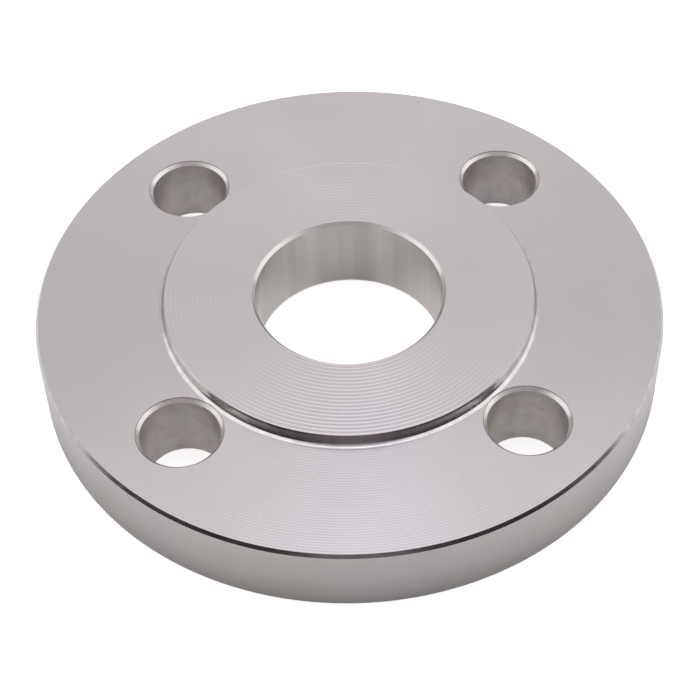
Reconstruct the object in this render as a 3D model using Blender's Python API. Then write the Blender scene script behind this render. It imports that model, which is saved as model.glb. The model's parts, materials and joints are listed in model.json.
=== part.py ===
"""Slip on plate flange with a raised, serrated gasket face and four bolt holes.

The flange lies on its weld side. The origin is the centre of the bore on that side, +Z runs along
the bore towards the gasket face. Every size is in metres.
"""

from math import cos, pi, radians, sin

import bmesh
import bpy

# Driving dimensions of a DN 25 plate flange
OUTSIDE_DIAMETER = 0.115
RIM_THICKNESS = 0.014
BORE_DIAMETER = 0.0345
RAISED_FACE_HEIGHT = 0.002
BOLT_HOLE_DIAMETER = 0.0142
BOLT_HOLE_COUNT = 4
FIRST_BOLT_HOLE_ANGLE = radians(45)

# Metal left beside a bolt hole, which sets the bolt circle and the raised face inside it
BOLT_HOLE_TO_RIM = 0.0077
BOLT_HOLE_TO_RAISED_FACE = 0.0016

# Edges
RIM_CHAMFER = 0.00055
RIM_WELD_SIDE_BREAK = 0.0002
FACE_CORNER_BREAK = 0.0002
FACE_ROOT_RADIUS = 0.0012
BORE_CHAMFER = 0.0006
BORE_WELD_SIDE_BREAK = 0.00035
BOLT_HOLE_CHAMFER = 0.0007
BOLT_HOLE_WELD_SIDE_BREAK = 0.0002

# Turned grooves of the gasket face
SERRATION_PITCH = 0.00082
SERRATION_DEPTH = 0.00005
SERRATION_LAND = 0.0004

# Fineness of the round surfaces
RIM_SEGMENTS = 88
ROOT_SEGMENTS = 4
BOLT_HOLE_SEGMENTS = 40
SHARP_ANGLE = radians(20)

# Length by which a cutter runs past both faces, short enough to miss the raised face
CUTTER_OVERRUN = 0.0004

# Turned stainless steel
STEEL_COLOUR = (0.52, 0.49, 0.50, 1.0)
STEEL_ROUGHNESS = 0.33

# Values worked out from the driving dimensions
RIM_RADIUS = OUTSIDE_DIAMETER / 2
BORE_RADIUS = BORE_DIAMETER / 2
BOLT_HOLE_RADIUS = BOLT_HOLE_DIAMETER / 2
BOLT_CIRCLE_RADIUS = RIM_RADIUS - BOLT_HOLE_TO_RIM - BOLT_HOLE_RADIUS
RAISED_FACE_RADIUS = BOLT_CIRCLE_RADIUS - BOLT_HOLE_RADIUS - BOLT_HOLE_TO_RAISED_FACE
OVERALL_HEIGHT = RIM_THICKNESS + RAISED_FACE_HEIGHT


def clear_scene():
    """Remove the objects that a new Blender file starts with."""
    for item in list(bpy.data.objects):
        bpy.data.objects.remove(item, do_unlink=True)


def steel_material():
    """Bare stainless steel as a lathe leaves it."""
    material = bpy.data.materials.new("turned_stainless_steel")
    material.use_nodes = True
    shader = material.node_tree.nodes["Principled BSDF"]
    shader.inputs["Base Color"].default_value = STEEL_COLOUR
    shader.inputs["Roughness"].default_value = STEEL_ROUGHNESS
    shader.inputs["Metallic"].default_value = 1.0
    material.diffuse_color = STEEL_COLOUR
    return material


def serration_points():
    """Cusps and valleys of the gasket face's grooves, from the bore outwards."""
    inner = BORE_RADIUS + BORE_CHAMFER
    outer = RAISED_FACE_RADIUS - FACE_CORNER_BREAK
    grooves = int((outer - inner - 2 * SERRATION_LAND) / SERRATION_PITCH)
    land = (outer - inner - grooves * SERRATION_PITCH) / 2
    points = [(inner, OVERALL_HEIGHT)]
    for groove in range(grooves):
        cusp = inner + land + groove * SERRATION_PITCH
        points.append((cusp, OVERALL_HEIGHT))
        points.append((cusp + SERRATION_PITCH / 2, OVERALL_HEIGHT - SERRATION_DEPTH))
    points.append((outer - land, OVERALL_HEIGHT))
    points.append((outer, OVERALL_HEIGHT))
    return points


def root_points():
    """Fillet between the raised face's wall and the rim's face, from the wall outwards."""
    points = []
    for step in range(ROOT_SEGMENTS + 1):
        angle = pi / 2 * step / ROOT_SEGMENTS
        radius = RAISED_FACE_RADIUS + FACE_ROOT_RADIUS * (1 - cos(angle))
        height = RIM_THICKNESS + FACE_ROOT_RADIUS * (1 - sin(angle))
        points.append((radius, height))
    return points


def turned_profile():
    """Closed outline of the flange's half section: top outwards, rim down, weld side, bore up."""
    profile = serration_points()
    profile.append((RAISED_FACE_RADIUS, OVERALL_HEIGHT - FACE_CORNER_BREAK))
    profile += root_points()
    profile += [
        (RIM_RADIUS - RIM_CHAMFER, RIM_THICKNESS),
        (RIM_RADIUS, RIM_THICKNESS - RIM_CHAMFER),
        (RIM_RADIUS, RIM_WELD_SIDE_BREAK),
        (RIM_RADIUS - RIM_WELD_SIDE_BREAK, 0.0),
        (BORE_RADIUS + BORE_WELD_SIDE_BREAK, 0.0),
        (BORE_RADIUS, BORE_WELD_SIDE_BREAK),
        (BORE_RADIUS, OVERALL_HEIGHT - BORE_CHAMFER),
    ]
    return profile


def cutter_profile():
    """Outline of a bolt hole with its chamfer and its break, from the axis outwards and down."""
    top = RIM_THICKNESS + CUTTER_OVERRUN
    return [
        (0.0, top),
        (BOLT_HOLE_RADIUS + BOLT_HOLE_CHAMFER + CUTTER_OVERRUN, top),
        (BOLT_HOLE_RADIUS, RIM_THICKNESS - BOLT_HOLE_CHAMFER),
        (BOLT_HOLE_RADIUS, BOLT_HOLE_WELD_SIDE_BREAK),
        (BOLT_HOLE_RADIUS + BOLT_HOLE_WELD_SIDE_BREAK + CUTTER_OVERRUN, -CUTTER_OVERRUN),
        (0.0, -CUTTER_OVERRUN),
    ]


def turned_mesh(name, profile, segments, closed):
    """Spin an outline of (radius, height) points once round the Z axis into a mesh."""
    shape = bmesh.new()
    corners = [shape.verts.new((radius, 0.0, height)) for radius, height in profile]
    edges = [shape.edges.new(pair) for pair in zip(corners, corners[1:])]
    if closed:
        edges.append(shape.edges.new((corners[-1], corners[0])))
    bmesh.ops.spin(
        shape,
        geom=corners + edges,
        axis=(0.0, 0.0, 1.0),
        cent=(0.0, 0.0, 0.0),
        angle=2 * pi,
        steps=segments,
        use_merge=True,
    )
    bmesh.ops.remove_doubles(shape, verts=shape.verts, dist=1e-6)
    bmesh.ops.recalc_face_normals(shape, faces=shape.faces)
    mesh = bpy.data.meshes.new(name)
    shape.to_mesh(mesh)
    shape.free()
    return mesh


def add_object(name, mesh):
    """Put a mesh into the scene as an object of its own."""
    item = bpy.data.objects.new(name, mesh)
    bpy.context.scene.collection.objects.link(item)
    return item


def add_bolt_hole_cutters():
    """Place one cutter on each bolt hole's axis, turned so that no seam meets the flange's own."""
    mesh = turned_mesh("bolt_hole_cutter", cutter_profile(), BOLT_HOLE_SEGMENTS, closed=False)
    cutters = []
    for index in range(BOLT_HOLE_COUNT):
        angle = FIRST_BOLT_HOLE_ANGLE + 2 * pi * index / BOLT_HOLE_COUNT
        cutter = add_object(f"bolt_hole_cutter_{index + 1}", mesh)
        cutter.location.x = BOLT_CIRCLE_RADIUS * cos(angle)
        cutter.location.y = BOLT_CIRCLE_RADIUS * sin(angle)
        cutter.rotation_euler.z = angle + pi / BOLT_HOLE_SEGMENTS
        cutter.hide_render = True
        cutter.display_type = "WIRE"
        cutters.append(cutter)
    return cutters


def drill(body, cutters):
    """Cut every bolt hole and keep the result as the body's own mesh."""
    bpy.context.view_layer.update()
    bpy.context.view_layer.objects.active = body
    for cutter in cutters:
        cut = body.modifiers.new(cutter.name, "BOOLEAN")
        cut.operation = "DIFFERENCE"
        cut.solver = "EXACT"
        cut.object = cutter
        bpy.ops.object.modifier_apply(modifier=cut.name)


def build_flange():
    """Turn the flange, drill it and give it its material."""
    flange = add_object("flange", turned_mesh("flange", turned_profile(), RIM_SEGMENTS, closed=True))
    drill(flange, add_bolt_hole_cutters())
    flange.data.shade_smooth()
    flange.data.set_sharp_from_angle(angle=SHARP_ANGLE)
    flange.data.materials.append(steel_material())


clear_scene()
build_flange()
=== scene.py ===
# %% [markdown]
# A slip on flange is a flat steel ring that is welded on the end of a pipe, so that the pipe can
# be bolted to the next one. This lesson dresses the plain CAD solid of one: a lathe's half section
# is drawn and spun, the bolt holes are drilled, and the gasket face gets the fine spiral groove
# that the turning tool leaves. All sizes are in metres, and the weld side lies at height zero.

# %% Load the frame
import json
from math import atan2, ceil, cos, hypot, pi, radians, sin

import bmesh
import bpy
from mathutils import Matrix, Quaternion, Vector

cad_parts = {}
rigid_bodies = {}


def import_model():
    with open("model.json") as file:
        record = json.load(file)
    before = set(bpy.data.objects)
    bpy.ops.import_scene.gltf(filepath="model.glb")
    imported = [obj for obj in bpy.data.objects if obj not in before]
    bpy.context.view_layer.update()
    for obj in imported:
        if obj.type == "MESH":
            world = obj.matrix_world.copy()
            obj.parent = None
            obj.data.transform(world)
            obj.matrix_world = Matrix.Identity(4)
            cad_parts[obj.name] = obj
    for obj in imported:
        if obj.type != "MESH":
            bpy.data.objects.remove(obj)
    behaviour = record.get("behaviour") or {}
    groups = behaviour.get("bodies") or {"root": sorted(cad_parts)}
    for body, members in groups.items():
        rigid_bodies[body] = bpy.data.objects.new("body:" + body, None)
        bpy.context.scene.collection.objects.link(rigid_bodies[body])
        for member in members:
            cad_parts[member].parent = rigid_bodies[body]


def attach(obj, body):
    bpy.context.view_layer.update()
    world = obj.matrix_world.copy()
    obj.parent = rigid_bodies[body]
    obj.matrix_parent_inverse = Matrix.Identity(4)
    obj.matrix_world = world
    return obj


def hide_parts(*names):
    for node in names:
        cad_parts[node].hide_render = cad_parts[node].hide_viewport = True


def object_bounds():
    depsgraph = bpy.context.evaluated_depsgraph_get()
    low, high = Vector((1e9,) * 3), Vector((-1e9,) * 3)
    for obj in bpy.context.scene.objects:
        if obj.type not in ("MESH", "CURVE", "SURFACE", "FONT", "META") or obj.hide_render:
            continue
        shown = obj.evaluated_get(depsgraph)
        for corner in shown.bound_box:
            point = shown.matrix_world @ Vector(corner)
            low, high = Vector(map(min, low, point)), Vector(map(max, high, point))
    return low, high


def in_mm(length):
    """Say a length in millimetres, for the printed lines."""
    return round(1000 * length, 2)


for item in list(bpy.data.objects):
    bpy.data.objects.remove(item, do_unlink=True)
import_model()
cad_low, cad_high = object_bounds()
print("CAD box in mm:", [in_mm(end - start) for start, end in zip(cad_low, cad_high)])

# %% [markdown]
# The driving sizes are those of the solid. The outside diameter and the whole height are read from
# the frame, so the dressed flange can't outgrow the solid. The rest are the real part's sizes,
# with the bolt circle worked out from the metal that is left between a hole and the rim. The sizes
# of the small edges come later, each beside the cut that it belongs to.

# %% Sizes of the flange
RIM_RADIUS = (cad_high.x - cad_low.x) / 2
OVERALL_HEIGHT = cad_high.z
RAISED_FACE_HEIGHT = 0.002
RIM_THICKNESS = OVERALL_HEIGHT - RAISED_FACE_HEIGHT
BORE_RADIUS = 0.01725
BOLT_HOLE_RADIUS = 0.0071
BOLT_HOLE_TO_RIM = 0.0077
BOLT_HOLE_TO_RAISED_FACE = 0.0016
BOLT_CIRCLE_RADIUS = RIM_RADIUS - BOLT_HOLE_TO_RIM - BOLT_HOLE_RADIUS
RAISED_FACE_RADIUS = BOLT_CIRCLE_RADIUS - BOLT_HOLE_RADIUS - BOLT_HOLE_TO_RAISED_FACE
print("bolt circle in mm:", in_mm(2 * BOLT_CIRCLE_RADIUS))

# %% [markdown]
# Operators in edit mode work on what is selected, as they do by hand. These helpers open one piece
# with nothing selected and pick its corners, edges or faces by where they are, so that each step
# below reads like a step at the keyboard. Their numbers could be used instead, but those change
# with every cut, and a place doesn't.

# %% Helpers for working in edit mode
TINY = 1e-6


def select_alone(piece):
    """Select one piece and nothing else, and make it the active one."""
    bpy.ops.object.select_all(action="DESELECT")
    piece.select_set(True)
    bpy.context.view_layer.objects.active = piece


def open_piece(piece):
    """Open one piece alone in edit mode with nothing selected."""
    select_alone(piece)
    bpy.ops.object.mode_set(mode="EDIT")
    bpy.ops.mesh.select_all(action="DESELECT")


def close_piece():
    """Go back to object mode."""
    bpy.ops.object.mode_set(mode="OBJECT")


def pick(piece, kind, wanted):
    """Select only the corners, edges or faces whose middle the wanted test accepts."""
    bpy.ops.mesh.select_mode(type=kind)
    bpy.ops.mesh.select_all(action="DESELECT")
    shape = bmesh.from_edit_mesh(piece.data)
    group = {"VERT": shape.verts, "EDGE": shape.edges, "FACE": shape.faces}[kind]
    count = 0
    for item in group:
        corners = [item.co] if kind == "VERT" else [corner.co for corner in item.verts]
        if wanted(sum(corners, Vector()) / len(corners)):
            item.select_set(True)
            count += 1
    shape.select_flush_mode()
    bmesh.update_edit_mesh(piece.data)
    return count


def at(spot):
    """Make the test that accepts what has its middle at one spot."""
    return lambda middle: (middle - spot).length < TINY


def at_height(height):
    """Make the test that accepts what has its middle at one height."""
    return lambda middle: abs(middle.z - height) < TINY


def slide(piece, spot, step):
    """Move the one corner at a spot by a step."""
    pick(piece, "VERT", at(spot))
    bpy.ops.transform.translate(value=step)


def merge_doubles():
    """Merge the corners of the open piece that lie on each other."""
    bpy.ops.mesh.select_all(action="SELECT")
    bpy.ops.mesh.remove_doubles(threshold=TINY)


# %% [markdown]
# On a lathe the whole ring is one outline turned round one axis, so the half section is the thing
# to draw. A cylinder with holes cut in it would give the ring too, but each chamfer would then be
# a cut of its own. A grid of two cells stands in the XZ plane: the inner cell is the metal between
# bore and raised face, the outer cell the rest of the rim. Extruding the inner cell's top edge
# raises the gasket face, and a limited dissolve leaves one clean outline.

# %% Half section of the ring
STRAIGHT = radians(1)


def outline_point(radius, height):
    """Give a point of the half section, which is drawn in the XZ plane."""
    return Vector((radius, 0.0, height))


section_middle = outline_point((BORE_RADIUS + RIM_RADIUS) / 2, RIM_THICKNESS / 2)
section_size = (RIM_RADIUS - BORE_RADIUS, 1.0, RIM_THICKNESS)
bpy.ops.object.select_all(action="DESELECT")
bpy.ops.mesh.primitive_grid_add(
    x_subdivisions=2,
    y_subdivisions=1,
    size=1.0,
    location=section_middle,
    rotation=(pi / 2, 0.0, 0.0),
)
flange = bpy.context.object
flange.name = "turned_flange"
bpy.ops.object.transform_apply(location=True, rotation=True, scale=True)
open_piece(flange)
bpy.ops.mesh.select_all(action="SELECT")
bpy.ops.transform.resize(value=section_size, center_override=section_middle)
pick(flange, "VERT", lambda middle: abs(middle.x - section_middle.x) < TINY)
bpy.ops.transform.translate(value=(RAISED_FACE_RADIUS - section_middle.x, 0.0, 0.0))
pick(flange, "EDGE", at(outline_point((BORE_RADIUS + RAISED_FACE_RADIUS) / 2, RIM_THICKNESS)))
bpy.ops.mesh.extrude_region_move(TRANSFORM_OT_translate={"value": (0.0, 0.0, RAISED_FACE_HEIGHT)})
bpy.ops.mesh.select_all(action="SELECT")
bpy.ops.mesh.dissolve_limited(angle_limit=STRAIGHT)
print("corners of the half section:", len(bmesh.from_edit_mesh(flange.data).verts))

# %% [markdown]
# Nothing that comes off a lathe has a razor edge. A Bevel modifier would round every edge alike,
# so each corner of the outline is bevelled by itself. The rim's lower corner gets a small break.
# The upper one gets a chamfer that is deeper than it is wide: its foot is slid down the rim after
# the cut, because a steeper chamfer mirrors a darker part of the room.

# %% Edges of the rim
RIM_WELD_SIDE_BREAK = 0.0002
RIM_CHAMFER = 0.00048
RIM_CHAMFER_DEPTH = 0.00063


def cut_corner(spot, size, segments=1):
    """Bevel the corner of the outline at one spot."""
    found = pick(flange, "VERT", at(spot))
    bpy.ops.mesh.bevel(offset=size, offset_type="OFFSET", segments=segments, affect="VERTICES")
    print("corners cut at", in_mm(spot.x), in_mm(spot.z), "mm:", found)


cut_corner(outline_point(RIM_RADIUS, 0.0), RIM_WELD_SIDE_BREAK)
cut_corner(outline_point(RIM_RADIUS, RIM_THICKNESS), RIM_CHAMFER)
rim_chamfer_foot = outline_point(RIM_RADIUS, RIM_THICKNESS - RIM_CHAMFER)
slide(flange, rim_chamfer_foot, (0.0, 0.0, RIM_CHAMFER - RIM_CHAMFER_DEPTH))

# %% [markdown]
# The raised face's wall isn't quite upright: its foot stands a third of a millimetre further out
# than its crown. The tool's round nose leaves a round root where the wall meets the rim's face, so
# that cut has ten segments. The crown gets a small break, slid down the wall for the same reason
# as the rim's chamfer.

# %% Wall of the raised face
FACE_WALL_LEAN = 0.00033
FACE_ROOT_CUT = 0.00078
ROOT_SEGMENTS = 10
FACE_CORNER_BREAK = 0.00015
FACE_CORNER_FALL = 0.00025
upright_foot = outline_point(RAISED_FACE_RADIUS, RIM_THICKNESS)
wall_foot = outline_point(RAISED_FACE_RADIUS + FACE_WALL_LEAN, RIM_THICKNESS)
wall_crown = outline_point(RAISED_FACE_RADIUS, OVERALL_HEIGHT)
up_wall = (wall_crown - wall_foot).normalized()
slide(flange, upright_foot, (FACE_WALL_LEAN, 0.0, 0.0))
cut_corner(wall_foot, FACE_ROOT_CUT, ROOT_SEGMENTS)
cut_corner(wall_crown, FACE_CORNER_BREAK)
corner_break_foot = wall_crown - FACE_CORNER_BREAK * up_wall
slide(flange, corner_break_foot, (FACE_CORNER_BREAK - FACE_CORNER_FALL) * up_wall)

# %% [markdown]
# The bore gets a break on the weld side, and on the gasket side a chamfer that guides the pipe.
# The chamfer is a hair flatter than 45 degrees, which is enough to catch the light from overhead.

# %% Edges of the bore
BORE_WELD_SIDE_BREAK = 0.00035
BORE_CHAMFER = 0.0006
BORE_CHAMFER_DEPTH = 0.00058
cut_corner(outline_point(BORE_RADIUS, 0.0), BORE_WELD_SIDE_BREAK)
cut_corner(outline_point(BORE_RADIUS, OVERALL_HEIGHT), BORE_CHAMFER)
bore_chamfer_foot = outline_point(BORE_RADIUS, OVERALL_HEIGHT - BORE_CHAMFER)
slide(flange, bore_chamfer_foot, (0.0, 0.0, BORE_CHAMFER - BORE_CHAMFER_DEPTH))

# %% [markdown]
# A long flat face that runs smoothly into a round root borrows its shading from it. Sharp edges
# round the root would stop that, but they would also show as lines. One more corner just outside
# the root, and one just above it on the wall, hold the shading in a band a tenth of a millimetre
# wide instead.

# %% Corners that hold the shading
SUPPORT_GAP = 0.0001
OUTWARD = Vector((1.0, 0.0, 0.0))


def support_corner(start, end, target):
    """Split one straight edge of the outline and slide the new corner to its target."""
    middle = (start + end) / 2
    pick(flange, "EDGE", at(middle))
    bpy.ops.mesh.subdivide(number_cuts=1)
    slide(flange, middle, target - middle)


root_edge = wall_foot + FACE_ROOT_CUT * OUTWARD
rim_edge = outline_point(RIM_RADIUS - RIM_CHAMFER, RIM_THICKNESS)
root_top = wall_foot + FACE_ROOT_CUT * up_wall
wall_top = wall_crown - FACE_CORNER_FALL * up_wall
support_corner(root_edge, rim_edge, root_edge + SUPPORT_GAP * OUTWARD)
support_corner(root_top, wall_top, root_top + SUPPORT_GAP * up_wall)
print("corners of the outline:", len(bmesh.from_edit_mesh(flange.data).verts))

# %% [markdown]
# Now the outline is turned, as on the lathe. The section's face goes and only its edge is spun, or
# it would stay inside as a wall. A full turn puts the last copy on the first, so the doubles are
# merged, and the normals are made to point outwards.

# %% Spin the section
TURN_STEPS = 256
TURN_ANGLE = 2 * pi
bpy.ops.mesh.select_all(action="SELECT")
bpy.ops.mesh.delete(type="ONLY_FACE")
bpy.ops.mesh.select_all(action="SELECT")
bpy.ops.mesh.spin(steps=TURN_STEPS, angle=TURN_ANGLE, center=(0.0, 0.0, 0.0), axis=(0.0, 0.0, 1.0))
merge_doubles()
bpy.ops.mesh.normals_make_consistent(inside=False)
close_piece()
print("faces of the turned ring:", len(flange.data.polygons))

# %% [markdown]
# The bolt holes are drilled after turning. One cutter is a cylinder with flared ends, so that one
# cut makes the hole, its countersink and the small break on the weld side. The countersink has two
# slopes, a wide one and a thin, steep one at the outermost edge, which mirrors the dark room and
# draws the fine dark line round each hole. The ends stop just past the faces, so the flare doesn't
# reach the raised face.

# %% Shape the drill
BOLT_HOLE_CHAMFER = 0.0007
COUNTERSINK_DEPTH = 0.00069
EDGE_WIDTH = 0.00008
EDGE_DEPTH = 0.00014
BOLT_HOLE_WELD_SIDE_BREAK = 0.0002
CUTTER_OVERRUN = 0.0004
HOLE_STEPS = 96
countersink_foot = RIM_THICKNESS - COUNTERSINK_DEPTH
edge_overrun = CUTTER_OVERRUN * EDGE_WIDTH / EDGE_DEPTH
top_rings = (
    (countersink_foot, BOLT_HOLE_RADIUS),
    (RIM_THICKNESS - EDGE_DEPTH, BOLT_HOLE_RADIUS + (BOLT_HOLE_CHAMFER - EDGE_WIDTH)),
    (RIM_THICKNESS + CUTTER_OVERRUN, BOLT_HOLE_RADIUS + (BOLT_HOLE_CHAMFER + edge_overrun)),
)
foot_rings = (
    (BOLT_HOLE_WELD_SIDE_BREAK, BOLT_HOLE_RADIUS),
    (-CUTTER_OVERRUN, BOLT_HOLE_RADIUS + (BOLT_HOLE_WELD_SIDE_BREAK + CUTTER_OVERRUN)),
)
bpy.ops.object.select_all(action="DESELECT")
bpy.ops.mesh.primitive_cylinder_add(
    vertices=HOLE_STEPS,
    radius=BOLT_HOLE_RADIUS,
    depth=countersink_foot - BOLT_HOLE_WELD_SIDE_BREAK,
    location=(BOLT_CIRCLE_RADIUS, 0.0, (countersink_foot + BOLT_HOLE_WELD_SIDE_BREAK) / 2),
)
drill = bpy.context.object
drill.name = "drill"
bpy.ops.object.transform_apply(location=True, rotation=True, scale=True)
open_piece(drill)
for rings in (top_rings, foot_rings):
    for (start, width), (end, end_width) in zip(rings, rings[1:]):
        pick(drill, "FACE", at_height(start))
        bpy.ops.mesh.extrude_region_move(TRANSFORM_OT_translate={"value": (0.0, 0.0, end - start)})
        bpy.ops.transform.resize(
            value=(end_width / width, end_width / width, 1.0),
            center_override=(BOLT_CIRCLE_RADIUS, 0.0, end),
        )
close_piece()
print("faces of the drill:", len(drill.data.polygons))

# %% [markdown]
# The drill is copied round the bolt circle, each copy with its own mesh, and starts half a step
# from the X axis, because a flange's bolt holes straddle its centre lines. The cuts are Boolean
# modifiers, which are applied at once: a live one would keep the copies in the scene.

# %% Drill the bolt holes
BOLT_HOLE_COUNT = 4
HOLE_ANGLES = [
    TURN_ANGLE * (number + 0.5) / BOLT_HOLE_COUNT for number in range(BOLT_HOLE_COUNT)
]
drills = []
for angle in HOLE_ANGLES:
    copy = drill.copy()
    copy.data = drill.data.copy()
    bpy.context.collection.objects.link(copy)
    copy.rotation_euler.z = angle
    drills.append(copy)
bpy.data.objects.remove(drill, do_unlink=True)
bpy.context.view_layer.update()
bpy.context.view_layer.objects.active = flange
for number, copy in enumerate(drills):
    cut = flange.modifiers.new(f"hole_{number + 1}", "BOOLEAN")
    cut.operation = "DIFFERENCE"
    cut.solver = "EXACT"
    cut.object = copy
    bpy.ops.object.modifier_apply(modifier=cut.name)
for copy in drills:
    bpy.data.objects.remove(copy, do_unlink=True)
print("faces after drilling:", len(flange.data.polygons))

# %% [markdown]
# The gasket face is turned on purpose with a coarse, round-nosed tool and a fast feed, so it
# carries one shallow groove in a spiral, which bites into the gasket. Rings would be easier to
# spin, but the real groove is a spiral, and it shows where it runs out at the edges. This function
# says how high the face lies anywhere: an arc from crest to crest, moved one feed inwards for each
# turn.

# %% Height of the spiral groove
GROOVE_FEED = 0.00082
GROOVE_DEPTH = 0.000025
SPIRAL_START_STEP = 183
SPIRAL_START = TURN_ANGLE * SPIRAL_START_STEP / TURN_STEPS
face_inner = BORE_RADIUS + BORE_CHAMFER
face_outer = RAISED_FACE_RADIUS - FACE_CORNER_BREAK


def groove_height(radius, turn):
    """Height of the gasket face at a radius, after a part of a turn from the spiral's start."""
    from_valley = ((radius - face_inner) / GROOVE_FEED + turn) % 1.0 - 0.5
    return OVERALL_HEIGHT - GROOVE_DEPTH * (1 - 4 * from_valley * from_valley)


print("turns of the groove:", round((face_outer - face_inner) / GROOVE_FEED, 1))

# %% [markdown]
# A spin can't make a spiral, so this face starts as a flat grid, the face unrolled: its long rows
# are the groove's lines, its short ones the steps round the bore. Each corner is then rolled round
# the axis and set to its height. Rows that would pass the edge of the face stop on it, and merging
# closes the seam, because a groove meets its neighbour there.

# %% Roll the gasket face
GROOVE_ROWS = 6
row_spacing = GROOVE_FEED / GROOVE_ROWS
row_count = ceil((face_outer - face_inner + GROOVE_FEED) / row_spacing)
bpy.ops.object.select_all(action="DESELECT")
bpy.ops.mesh.primitive_grid_add(x_subdivisions=row_count, y_subdivisions=TURN_STEPS, size=1.0)
gasket_face = bpy.context.object
gasket_face.name = "gasket_face"
for corner in gasket_face.data.vertices:
    row = round((corner.co.x + 0.5) * row_count)
    turn = round((corner.co.y + 0.5) * TURN_STEPS) / TURN_STEPS
    radius = face_inner + row * row_spacing - turn * GROOVE_FEED
    radius = min(max(radius, face_inner), face_outer)
    angle = SPIRAL_START + TURN_ANGLE * turn
    corner.co = (radius * cos(angle), radius * sin(angle), groove_height(radius, turn))
open_piece(gasket_face)
merge_doubles()
close_piece()
print("faces of the grooved face:", len(gasket_face.data.polygons))

# %% [markdown]
# The ring's own flat face now makes room for the grooved one. Sinking the grooves into it with a
# Boolean would leave slivers, so the flat face is taken out instead. The corners along its two
# edges follow the groove up and down, as a real edge does where a groove runs out, and the two
# meshes are joined. A closed ring has no open edge left.

# %% Set the grooved face into the ring
open_piece(flange)
pick(flange, "FACE", at_height(OVERALL_HEIGHT))
bpy.ops.mesh.delete(type="FACE")
close_piece()
for corner in flange.data.vertices:
    if abs(corner.co.z - OVERALL_HEIGHT) < TINY:
        turn = ((atan2(corner.co.y, corner.co.x) - SPIRAL_START) / TURN_ANGLE) % 1.0
        corner.co.z = groove_height(hypot(corner.co.x, corner.co.y), turn)
select_alone(flange)
gasket_face.select_set(True)
bpy.ops.object.join()
open_piece(flange)
merge_doubles()
bpy.ops.mesh.normals_make_consistent(inside=False)
bpy.ops.mesh.select_mode(type="EDGE")
bpy.ops.mesh.select_all(action="DESELECT")
bpy.ops.mesh.select_non_manifold()
open_edges = sum(edge.select for edge in bmesh.from_edit_mesh(flange.data).edges)
close_piece()
triangles = sum(len(face.vertices) - 2 for face in flange.data.polygons)
print("open edges:", open_edges, "triangles:", triangles)

# %% [markdown]
# Each surface of the flange was made by another tool, so each has its own finish: the faces and
# the rim were turned, the bore was bored, the bolt holes were drilled and countersunk, and the
# edges and the root are small cuts. Painting the faces by hand would have to be done again after
# each change, so they get their finish by where they lie and which way they look.

# %% Give each surface its finish
FINISHES = (
    "turned_face",
    "grooved_face",
    "turned_rim",
    "bored_wall",
    "drilled_wall",
    "countersunk_edge",
    "turned_edge",
    "bored_edge",
)
HOLE_CENTRES = [
    BOLT_CIRCLE_RADIUS * Vector((cos(angle), sin(angle), 0.0)) for angle in HOLE_ANGLES
]
HOLE_REACH = BOLT_HOLE_RADIUS + BOLT_HOLE_CHAMFER + TINY
GROOVED_LEVEL = 0.9
FLAT_LEVEL = 0.999
UPRIGHT_LEVEL = 0.05


def nearest_hole(face):
    """Give the centre of the bolt hole that lies nearest to a face."""
    return min(HOLE_CENTRES, key=lambda centre: (face.center.xy - centre.xy).length)


def finish_of(face):
    """Name the finish of a face from its middle and its normal."""
    radius = hypot(face.center.x, face.center.y)
    level = abs(face.normal.z)
    if face.center.z > OVERALL_HEIGHT - 2 * GROOVE_DEPTH and level > GROOVED_LEVEL:
        return "grooved_face"
    if level > FLAT_LEVEL:
        return "turned_face"
    if (face.center.xy - nearest_hole(face).xy).length < HOLE_REACH:
        return "countersunk_edge" if level > UPRIGHT_LEVEL else "drilled_wall"
    if level > UPRIGHT_LEVEL:
        return "bored_edge" if radius < BORE_RADIUS + BORE_CHAMFER else "turned_edge"
    if radius > RIM_RADIUS - RIM_CHAMFER:
        return "turned_rim"
    return "bored_wall" if radius < BORE_RADIUS + TINY else "turned_edge"


flange.data.materials.clear()
for finish in FINISHES:
    flange.data.materials.append(bpy.data.materials.new(finish))
for face in flange.data.polygons:
    face.material_index = FINISHES.index(finish_of(face))
for number, finish in enumerate(FINISHES):
    print(finish, sum(face.material_index == number for face in flange.data.polygons))

# %% [markdown]
# Smooth shading makes the 256 steps of the ring look round, and a limit on the angle keeps its
# cuts crisp. The limit is low, because the two slopes of a countersink lie only a few degrees more
# apart.

# %% Shade the round surfaces smooth
SMOOTH_ANGLE = radians(12)
select_alone(flange)
bpy.ops.object.shade_smooth_by_angle(angle=SMOOTH_ANGLE)
print("smooth faces:", sum(face.use_smooth for face in flange.data.polygons))

# %% [markdown]
# Every tool mark on this part runs round an axis: the bore's axis on what the lathe turned, and
# the hole's own axis in a bolt hole. Object coordinates start from the first one only. An
# attribute keeps, for each corner of each face, the way from its own axis to the corner, so that
# one graph of nodes can draw rings and hoops round the right axis.

# %% Way from the axis
from_axis = flange.data.attributes.new("from_axis", "FLOAT_VECTOR", "CORNER")
drilled = [FINISHES.index("drilled_wall"), FINISHES.index("countersunk_edge")]
for face in flange.data.polygons:
    axis = nearest_hole(face) if face.material_index in drilled else Vector()
    for corner in face.loop_indices:
        place = flange.data.vertices[flange.data.loops[corner].vertex_index].co
        from_axis.data[corner].vector = (place.x - axis.x, place.y - axis.y, place.z)
print("corners with a way from their axis:", len(from_axis.data))

# %% [markdown]
# A finish is a small graph of nodes, which takes a line of script for each node and each link.
# These helpers keep the graphs short enough to read: one adds a node, one fills an input with a
# number or with another node's output, and the rest are the few sums, noises and ramps that steel
# needs.

# %% Helpers for graphs of nodes
NOISE_LOW = 0.3
NOISE_HIGH = 0.7


def add_node(tree, kind, **settings):
    """Add a node and set its own properties."""
    node = tree.nodes.new(kind)
    for name, value in settings.items():
        setattr(node, name, value)
    return node


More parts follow.
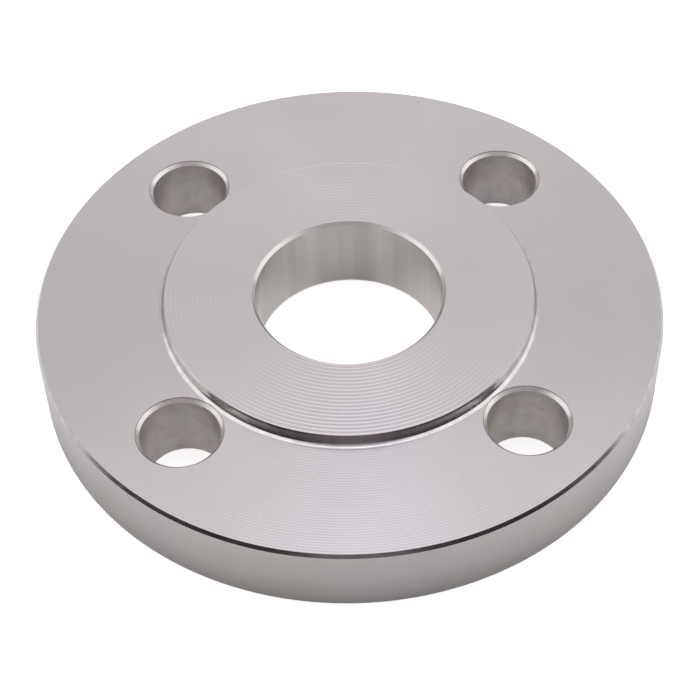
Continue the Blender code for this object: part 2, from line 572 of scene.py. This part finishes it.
def fill(tree, socket, value):
    """Give an input a number or another node's output."""
    if isinstance(value, bpy.types.NodeSocket):
        tree.links.new(value, socket)
    elif value is not None:
        socket.default_value = value


def maths(tree, operation, first, second=None):
    """Do one sum on two values, each a number or another node's output."""
    node = add_node(tree, "ShaderNodeMath", operation=operation)
    fill(tree, node.inputs[0], first)
    fill(tree, node.inputs[1], second)
    return node.outputs[0]


def vector_maths(tree, operation, first, second):
    """Do one sum on two vectors."""
    node = add_node(tree, "ShaderNodeVectorMath", operation=operation)
    fill(tree, node.inputs[0], first)
    fill(tree, node.inputs[1], second)
    return node.outputs["Vector"]


def scaled(tree, vector, size):
    """Make a vector or a colour longer or shorter."""
    node = add_node(tree, "ShaderNodeVectorMath", operation="SCALE")
    fill(tree, node.inputs[0], vector)
    fill(tree, node.inputs["Scale"], size)
    return node.outputs["Vector"]


def length_of(tree, vector):
    """Measure a vector."""
    node = add_node(tree, "ShaderNodeVectorMath", operation="LENGTH")
    fill(tree, node.inputs[0], vector)
    return node.outputs["Value"]


def parts_of(tree, vector):
    """Split a vector into its three parts."""
    node = add_node(tree, "ShaderNodeSeparateXYZ")
    fill(tree, node.inputs[0], vector)
    return node.outputs


def noise(tree, place, marks_per_metre, detail, dimensions="3D"):
    """Noise all over a piece, or along one line for rings on a face."""
    node = add_node(tree, "ShaderNodeTexNoise", noise_dimensions=dimensions)
    node.inputs["Scale"].default_value = marks_per_metre
    node.inputs["Detail"].default_value = detail
    fill(tree, node.inputs["W" if dimensions == "1D" else "Vector"], place)
    return node.outputs["Fac"]


def ramp(tree, value, start, end, low=0.0, high=1.0, **settings):
    """Go from one level to another while a value goes from start to end."""
    node = add_node(tree, "ShaderNodeMapRange", **settings)
    limits = {"From Min": start, "From Max": end, "To Min": low, "To Max": high}
    for name, limit in limits.items():
        node.inputs[name].default_value = limit
    fill(tree, node.inputs["Value"], value)
    return node.outputs["Result"]


def soft_step(tree, value, start, end, low=0.0, high=1.0):
    """Go from one level to another with a soft start and a soft end."""
    return ramp(tree, value, start, end, low, high, interpolation_type="SMOOTHSTEP")


def spread(tree, value, middle, reach):
    """Stretch a noise, which stays near a half, over the range round a middle."""
    return ramp(tree, value, NOISE_LOW, NOISE_HIGH, middle - reach, middle + reach)


# %% [markdown]
# Every finish starts from bare metal. Fine marks that all run one way make a metal's reflections
# long across the marks and sharp along them. A very fine bump could do that, but it would flicker
# from pixel to pixel, and the anisotropic input does it evenly. Its tangent follows the marks
# round the axis, and a quarter turn points the long way of the reflection across them.

# %% Bare metal
QUARTER_TURN = 0.25
UP = (0.0, 0.0, 1.0)
FLATTEN = (1.0, 1.0, 0.0)


def bare_metal(name, stretch):
    """Start one finish, and give its graph, its shader and the way from the axis."""
    material = bpy.data.materials[name]
    material.use_nodes = True
    tree = material.node_tree
    shader = tree.nodes["Principled BSDF"]
    shader.inputs["Metallic"].default_value = 1.0
    shader.inputs["Anisotropic"].default_value = stretch
    shader.inputs["Anisotropic Rotation"].default_value = QUARTER_TURN
    way = add_node(tree, "ShaderNodeAttribute", attribute_name="from_axis").outputs["Vector"]
    outwards = vector_maths(tree, "MULTIPLY", way, FLATTEN)
    fill(tree, shader.inputs["Tangent"], vector_maths(tree, "CROSS_PRODUCT", UP, outwards))
    return tree, shader, way


# %% [markdown]
# Turned steel isn't one grey. Where the metal was warm under the tool it is a little browner, so
# two steels are mixed in blotches. The tone rises and falls in soft clouds, in streaks where the
# tool chattered, and in fine hoops. In the grooves a painted shade makes the bottom darker than the
# crests.

# %% Colour of steel
WARM_STEEL = (0.556, 0.505, 0.479)
COOL_STEEL = (0.534, 0.511, 0.507)
STREAK_DRAG = (1.0, 1.0, 0.03)
MARK_DETAIL = 2.0
CLOUD_DETAIL = 3.0


def steel_tone(tree, way, clouds, fine, bright, cloud, streak, hoops, painted_groove_shade):
    """Give the tone of a finish, which is 1 for plain steel."""
    dragged = vector_maths(tree, "MULTIPLY", way, STREAK_DRAG)
    streaks = noise(tree, dragged, streak[0], CLOUD_DETAIL)
    tone = spread(tree, clouds, bright, cloud[1])
    tone = maths(tree, "ADD", tone, spread(tree, streaks, 0.0, streak[1]))
    tone = maths(tree, "ADD", tone, spread(tree, fine, 0.0, hoops))
    # Painted shade: the bottom of the groove is painted darker than its crests.
    if painted_groove_shade:
        groove_foot = OVERALL_HEIGHT - GROOVE_DEPTH
        height = parts_of(tree, way)["Z"]
        painted_groove_shade_tone = ramp(tree, height, groove_foot, OVERALL_HEIGHT, -painted_groove_shade, painted_groove_shade)
        tone = maths(tree, "ADD", tone, painted_groove_shade_tone)
    return tone


def steel_colour(tree, whole, tone, blotch, cool):
    """Mix the two steels in blotches and give them their tone."""
    blotches = noise(tree, whole, blotch[0], MARK_DETAIL)
    hue = add_node(tree, "ShaderNodeMix", data_type="VECTOR")
    hue.inputs["A"].default_value = WARM_STEEL
    hue.inputs["B"].default_value = COOL_STEEL
    fill(tree, hue.inputs["Factor"], spread(tree, blotches, cool, blotch[1]))
    return scaled(tree, hue.outputs["Result"], tone)


# %% [markdown]
# The tool's feed leaves an even wave, and its worn tip leaves finer, uneven marks between. On a
# face both lie along the radius, and on a wall along the height, where the marks also drift a
# little on their way round. Both go into a bump, since they are far too fine to model, and the
# uneven marks make the haze of the metal uneven too.

# %% Tool marks
MARK_DRAG = (0.12, 0.12, 1.0)
HAZE = 0.02
SMEAR_SHARE = 2.5


def tool_marks(tree, way, along, marks):
    """Give the line that the tool moved along, and the uneven marks on it."""
    if along == "radius":
        line = length_of(tree, vector_maths(tree, "MULTIPLY", way, FLATTEN))
        return line, noise(tree, line, marks, MARK_DETAIL, "1D")
    line = parts_of(tree, way)["Z"]
    return line, noise(tree, vector_maths(tree, "MULTIPLY", way, MARK_DRAG), marks, MARK_DETAIL)


def steel_haze(tree, clouds, fine, gloss, hoops):
    """Give the roughness of a finish, cloudy and uneven across the marks."""
    smear = min(HAZE, SMEAR_SHARE * hoops)
    cloudy = spread(tree, clouds, gloss, HAZE)
    return maths(tree, "ADD", cloudy, spread(tree, fine, 0.0, smear))


def steel_bump(tree, line, fine, step, wave, bite):
    """Give the normal that an even wave and uneven marks leave."""
    angle = maths(tree, "MULTIPLY", line, TURN_ANGLE / step)
    even = maths(tree, "MULTIPLY", maths(tree, "SINE", angle), wave / 2)
    relief = maths(tree, "ADD", even, maths(tree, "MULTIPLY", fine, bite))
    bump = add_node(tree, "ShaderNodeBump")
    bump.inputs["Distance"].default_value = 1.0
    fill(tree, bump.inputs["Height"], relief)
    return bump.outputs["Normal"]


# %% [markdown]
# One function makes any of the finishes, because they differ only in numbers. A pair such as cloud
# holds how many of them there are to a metre and how far they change the tone. The wave and the
# bite are heights in metres, of the feed's wave and of the marks.

# %% Make a finish


def make_finish(
    name, along, bright, gloss, stretch, step, wave, marks, bite,
    hoops=0.008, cloud=(60.0, 0.015), streak=(900.0, 0.0), blotch=(40.0, 0.2), cool=0.5, painted_groove_shade=0.0,
):
    """Build one steel finish with its tool marks along the radius or the height."""
    tree, shader, way = bare_metal(name, stretch)
    whole = add_node(tree, "ShaderNodeTexCoord").outputs["Object"]
    line, fine = tool_marks(tree, way, along, marks)
    clouds = noise(tree, whole, cloud[0], CLOUD_DETAIL)
    tone = steel_tone(tree, way, clouds, fine, bright, cloud, streak, hoops, painted_groove_shade)
    fill(tree, shader.inputs["Base Color"], steel_colour(tree, whole, tone, blotch, cool))
    fill(tree, shader.inputs["Roughness"], steel_haze(tree, clouds, fine, gloss, hoops))
    fill(tree, shader.inputs["Normal"], steel_bump(tree, line, fine, step, wave, bite))
    print(name, "nodes:", len(tree.nodes))


# %% [markdown]
# What the lathe turned: the flat faces show a clear feed mark about every half millimetre, the
# gasket face is glossier and has its groove as real shape, and the rim is duller, with its marks
# one above another.

# %% Turned faces and rim
make_finish(
    "turned_face", along="radius", bright=1.0, gloss=0.22, stretch=0.8,
    step=0.000554, wave=4.5e-6, marks=3000.0, bite=1.0e-6,
)
# The grooved face gets a painted shade at the bottom of its groove.
make_finish(
    "grooved_face", along="radius", bright=1.045, gloss=0.18, stretch=0.5,
    step=0.00041, wave=0.3e-6, marks=4000.0, bite=2.0e-6, painted_groove_shade=0.013,
)
make_finish(
    "turned_rim", along="height", bright=1.0, gloss=0.36, stretch=0.8,
    step=0.0004, wave=0.6e-6, marks=2500.0, bite=2.0e-6, streak=(110.0, 0.02), cool=0.75,
)

# %% [markdown]
# What was bored or drilled: the bore is smooth, with soft upright streaks. A drill works hot and
# scrapes its chips along the wall, so a bolt hole is rougher, cloudier and more stained than the
# rest. Its walls are also painted lighter than plain steel, which is painted light from the floor
# below.

# %% Walls of the bore and the bolt holes
make_finish(
    "bored_wall", along="height", bright=0.97, gloss=0.25, stretch=0.9,
    step=0.0003, wave=0.3e-6, marks=2500.0, bite=0.05e-6, hoops=0.002, streak=(230.0, 0.13),
)
# Painted light: bright above 1 lightens the bolt holes' walls.
make_finish(
    "drilled_wall", along="height", bright=1.12, gloss=0.36, stretch=0.7,
    step=0.0005, wave=1.0e-6, marks=3500.0, bite=5.0e-6, hoops=0.07,
    cloud=(400.0, 0.12), streak=(160.0, 0.09), blotch=(150.0, 1.2),
)

# %% [markdown]
# The edges are cut last, with a fresh tool. The chamfers of the bore and of the bolt holes are
# painted the brightest on the part, a painted highlight, and have their marks along the radius. The
# rim's chamfer, the raised face's wall and its root are one finish, cooler and streaked, and
# painted a little lighter, a painted highlight too.

# %% Cut edges
# Painted highlight: bright above 1 lightens the colour of these edges.
make_finish(
    "countersunk_edge", along="radius", bright=1.13, gloss=0.28, stretch=0.85,
    step=0.0004, wave=0.5e-6, marks=3000.0, bite=1.0e-6, streak=(900.0, 0.05),
)
make_finish(
    "turned_edge", along="height", bright=1.04, gloss=0.20, stretch=0.3,
    step=0.0005, wave=0.3e-6, marks=3000.0, bite=1.0e-6, streak=(500.0, 0.12), cool=1.0,
)
make_finish(
    "bored_edge", along="radius", bright=1.13, gloss=0.28, stretch=0.85,
    step=0.0005, wave=0.3e-6, marks=3000.0, bite=0.5e-6,
)

# %% [markdown]
# The dressed ring stands for the whole solid and takes over its place in the frame. The solid
# could stay and show through, but two surfaces in one place flicker.

# %% Put the flange on the frame
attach(flange, "root")
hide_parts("flange")
print("corners of the dressed flange:", len(flange.data.vertices))

# %% [markdown]
# The photograph looks down on the flange from about a third of a metre with a long lens. The
# camera stands on a sphere round the middle of the weld side, looks at it, and leans a little, as
# a hand-held one does. It could be aimed with a Track To constraint, but a rotation worked out
# once also takes the lean. A tiny shift finishes the framing.

# %% Camera
CAMERA_DISTANCE = 0.3495
CAMERA_ELEVATION = radians(49.07)
CAMERA_TURN = radians(-0.49)
CAMERA_LEAN = radians(-1.55)
CAMERA_LENS = 94.73
SENSOR_WIDTH = 36.0
NEAREST_SEEN = 0.01
FRAME_SHIFT = -0.00034
FRAME_LIFT = -0.0038
camera = bpy.data.objects.new("camera", bpy.data.cameras.new("camera"))
bpy.context.scene.collection.objects.link(camera)
bpy.context.scene.camera = camera
camera.data.lens = CAMERA_LENS
camera.data.sensor_width = SENSOR_WIDTH
camera.data.shift_x = FRAME_SHIFT
camera.data.shift_y = FRAME_LIFT
camera.data.clip_start = NEAREST_SEEN
ground_distance = CAMERA_DISTANCE * cos(CAMERA_ELEVATION)
camera.location = (
    ground_distance * sin(CAMERA_TURN),
    -ground_distance * cos(CAMERA_TURN),
    CAMERA_DISTANCE * sin(CAMERA_ELEVATION),
)
look = (-camera.location).to_track_quat("-Z", "Y")
camera.rotation_mode = "QUATERNION"
camera.rotation_quaternion = look @ Quaternion((0.0, 0.0, 1.0), CAMERA_LEAN)
print("camera at", [round(value, 4) for value in camera.location])

# %% [markdown]
# Polished metal shows its surroundings more than its colour, so the studio matters as much as the
# finish. The photograph's chamfers tell what stood round the flange: a long soft light overhead
# from side to side, a pale wall behind, and a dark room on the camera's side. Area lamps and cards
# could stand there, but they would show in other views. The world is painted by direction instead,
# and the lit half of it ends along a plane that leans over the flange.

# %% Directions of the studio
LIGHT_LEAN = 0.65
LEAN_SOFTNESS = 0.07
world = bpy.data.worlds.new("studio")
bpy.context.scene.world = world
world.use_nodes = True
sky = world.node_tree
across, depth, height = parts_of(sky, add_node(sky, "ShaderNodeTexCoord").outputs["Generated"])
sideways = maths(sky, "ABSOLUTE", across)
leaning_depth = maths(sky, "ADD", depth, maths(sky, "MULTIPLY", height, LIGHT_LEAN))
lit_half = soft_step(sky, leaning_depth, -LEAN_SOFTNESS, LEAN_SOFTNESS)
dark_half = maths(sky, "SUBTRACT", 1.0, lit_half)
print("nodes of the studio's directions:", len(sky.nodes))

# %% [markdown]
# The dark room makes the dark lines on the rim's chamfer and on the raised face's corner. It is
# darkest low down at the sides and grows lighter towards the ceiling, where the 45 degree chamfers
# look. At the sides that rise starts a little higher.

# %% Dark room
ROOM_LOW_LIGHT = 0.19
ROOM_SIDE_LIGHT = 0.03
ROOM_HIGH_LIGHT = 0.66
ROOM_SIDES = (0.12, 0.45)
ROOM_RISE = (0.53, 0.79)
ROOM_SIDE_DROP = 0.08
ROOM_TINT = (1.0, 0.87, 0.97)
aside = soft_step(sky, sideways, *ROOM_SIDES)
side_change = maths(sky, "MULTIPLY", aside, ROOM_SIDE_LIGHT - ROOM_LOW_LIGHT)
room_low = maths(sky, "ADD", ROOM_LOW_LIGHT, side_change)
room_height = maths(sky, "SUBTRACT", height, maths(sky, "MULTIPLY", aside, ROOM_SIDE_DROP))
room_rise = soft_step(sky, room_height, *ROOM_RISE)
room_change = maths(sky, "MULTIPLY", room_rise, maths(sky, "SUBTRACT", ROOM_HIGH_LIGHT, room_low))
room = maths(sky, "MULTIPLY", maths(sky, "ADD", room_low, room_change), dark_half)
print("nodes with the room:", len(sky.nodes))

# %% [markdown]
# The long light overhead reaches from side to side and ends in front of the wall. It is weaker
# near the floor. A hood shades its middle on the camera's side, and close to the wall its middle
# glows bluer than the rest.

# %% Light overhead
STRIP_LIGHT = 1.52
STRIP_EDGE = (0.555, 0.455)
STRIP_FALL = (0.0, 0.4)
STRIP_FOOT = 0.35
STRIP_TINT = (1.0, 1.01, 1.02)
HOOD_LOSS = 0.90
HOOD_SIDES = (0.40, 0.15)
HOOD_DEPTHS = (-0.04, -0.24)
MIDDLE_LIGHT = 0.50
MIDDLE_SIDES = (0.17, 0.03)
MIDDLE_DEPTHS = (0.10, 0.35)
MIDDLE_TINT = (1.0, 1.0, 1.75)
strip_end = soft_step(sky, depth, *STRIP_EDGE)
strip = maths(sky, "MULTIPLY", strip_end, soft_step(sky, height, *STRIP_FALL, STRIP_FOOT, 1.0))
hood_side = soft_step(sky, sideways, *HOOD_SIDES)
hood = maths(sky, "MULTIPLY", hood_side, soft_step(sky, depth, *HOOD_DEPTHS))
hooded = maths(sky, "SUBTRACT", STRIP_LIGHT, maths(sky, "MULTIPLY", hood, HOOD_LOSS))
strip_level = maths(sky, "MULTIPLY", lit_half, maths(sky, "MULTIPLY", strip, hooded))
middle_side = soft_step(sky, sideways, *MIDDLE_SIDES)
glow = maths(sky, "MULTIPLY", middle_side, soft_step(sky, depth, *MIDDLE_DEPTHS))
glow_level = maths(sky, "MULTIPLY", maths(sky, "MULTIPLY", glow, strip), MIDDLE_LIGHT)
print("nodes with the light:", len(sky.nodes))

# %% [markdown]
# The pale wall is what the flat faces mirror, so its level sets their tone. It is brightest in the
# middle, falls off to both sides and is a little lighter on the right. It fills what the overhead
# light leaves free.

# %% Pale wall
WALL_LIGHT = 0.925
WALL_SIDE_LIGHT = 0.755
WALL_SIDES = (0.05, 0.45)
WALL_SLOPE = 0.1
WALL_TINT = (1.0, 1.0, 1.055)
wall_level = soft_step(sky, sideways, *WALL_SIDES, WALL_LIGHT, WALL_SIDE_LIGHT)
wall_slope = maths(sky, "ADD", 1.0, maths(sky, "MULTIPLY", across, WALL_SLOPE))
wall_level = maths(sky, "MULTIPLY", wall_level, wall_slope)
wall_level = maths(sky, "MULTIPLY", wall_level, maths(sky, "SUBTRACT", 1.0, strip))
wall_level = maths(sky, "MULTIPLY", lit_half, wall_level)
print("nodes with the wall:", len(sky.nodes))

# %% [markdown]
# Each light has its own tint, since no studio is one white. The tinted lights are added up and
# become the world's colour.

# %% Paint the world
studio_lights = (
    (MIDDLE_TINT, glow_level),
    (STRIP_TINT, strip_level),
    (WALL_TINT, wall_level),
    (ROOM_TINT, room),
)
total = (0.0, 0.0, 0.0)
for tint, level in studio_lights:
    total = vector_maths(sky, "ADD", total, scaled(sky, tint, level))
fill(sky, sky.nodes["Background"].inputs["Color"], total)
print("lights in the studio:", len(studio_lights))

# %% [markdown]
# The floor is a wide white sheet that the flange lies on. It is lit by the studio and keeps the
# flange's soft shadow. A floor of plain white paint would come out grey, and more light would burn
# out the steel, so a share of its own light lifts it to white, for the camera and for reflections
# only. The rim, the holes and the bore mirror the floor, so what they see of it is set here: for
# reflections only, its paint is darker at the flange's foot, a painted shadow, and far away, a
# painted shade.

# %% Floor and its paint
FLOOR_SIZE = 12.0
FLOOR_DROP = 0.00002
FLOOR_WHITE = (0.80, 0.80, 0.785)
PAPER_ROUGHNESS = 0.9
SHADE_WIDTH = 0.012
PAINTED_FOOT_SHADOW = 0.19
FAR_DISTANCES = (0.12, 0.5)
PAINTED_FAR_SHADE = 0.5
bpy.ops.object.select_all(action="DESELECT")
bpy.ops.mesh.primitive_plane_add(size=FLOOR_SIZE, location=(0.0, 0.0, -FLOOR_DROP))
floor = bpy.context.object
floor.name = "floor"
sheet = bpy.data.materials.new("floor_sheet")
sheet.use_nodes = True
floor.data.materials.append(sheet)
ground = sheet.node_tree
paper = ground.nodes["Principled BSDF"]
paper.inputs["Roughness"].default_value = PAPER_ROUGHNESS
paper.inputs["Specular IOR Level"].default_value = 0.0
ray = add_node(ground, "ShaderNodeLightPath").outputs
spot = add_node(ground, "ShaderNodeTexCoord").outputs["Object"]
distance = length_of(ground, spot)
from_rim = maths(ground, "ABSOLUTE", maths(ground, "SUBTRACT", distance, RIM_RADIUS))
off_rim = soft_step(ground, from_rim, 0.0, SHADE_WIDTH)
# Painted shadow and painted shade: for reflections only, the floor's paint darkens at the rim's
# foot and far away.
painted_foot_shadow = maths(ground, "MULTIPLY", maths(ground, "SUBTRACT", 1.0, off_rim), PAINTED_FOOT_SHADOW)
painted_far_shade = soft_step(ground, distance, *FAR_DISTANCES, 0.0, PAINTED_FAR_SHADE)
painted_floor_shade = maths(ground, "MULTIPLY", ray["Is Glossy Ray"], maths(ground, "ADD", painted_far_shade, painted_foot_shadow))
fill(
    ground,
    paper.inputs["Base Color"],
    scaled(ground, FLOOR_WHITE, maths(ground, "SUBTRACT", 1.0, painted_floor_shade)),
)
print("floor across in mm:", in_mm(FLOOR_SIZE))

# %% [markdown]
# The floor's own light is whole for the camera. For reflections it is a small share, away from the
# rim's foot. It is larger inside the bore to both sides of the middle, which leaves the middle of
# the bore's wall darker than its sides, and at both flanks of the rim.

# %% The floor's own light
FLOOR_LIFT = 0.66
GLOSS_SHARE = 0.25
POOL_SHARE = 0.42
POOL_SIDES = (0.002, 0.011)
FLANK_SHARE = 0.13
FLANK_SIDES = (0.01, 0.045)
off_middle = maths(ground, "ABSOLUTE", parts_of(ground, spot)["X"])
in_bore = maths(ground, "LESS_THAN", distance, BORE_RADIUS)
pool = soft_step(ground, off_middle, *POOL_SIDES, 0.0, POOL_SHARE)
outside = maths(ground, "GREATER_THAN", distance, RIM_RADIUS)
flank = soft_step(ground, off_middle, *FLANK_SIDES, 0.0, FLANK_SHARE)
mirrored = maths(ground, "MULTIPLY", off_rim, GLOSS_SHARE)
mirrored = maths(ground, "ADD", mirrored, maths(ground, "MULTIPLY", in_bore, pool))
mirrored = maths(ground, "ADD", mirrored, maths(ground, "MULTIPLY", outside, flank))
mirrored = maths(ground, "MULTIPLY", ray["Is Glossy Ray"], mirrored)
seen = maths(ground, "MAXIMUM", ray["Is Camera Ray"], ray["Is Transmission Ray"])
seen = maths(ground, "MAXIMUM", seen, mirrored)
paper.inputs["Emission Color"].default_value = (1.0, 1.0, 1.0, 1.0)
fill(ground, paper.inputs["Emission Strength"], maths(ground, "MULTIPLY", seen, FLOOR_LIFT))
print("nodes of the floor:", len(ground.nodes))

# %% [markdown]
# The Standard view shows each colour as it is written, where a film-like one would grey the white
# floor.

# %% Finish
bpy.context.scene.view_settings.view_transform = "Standard"
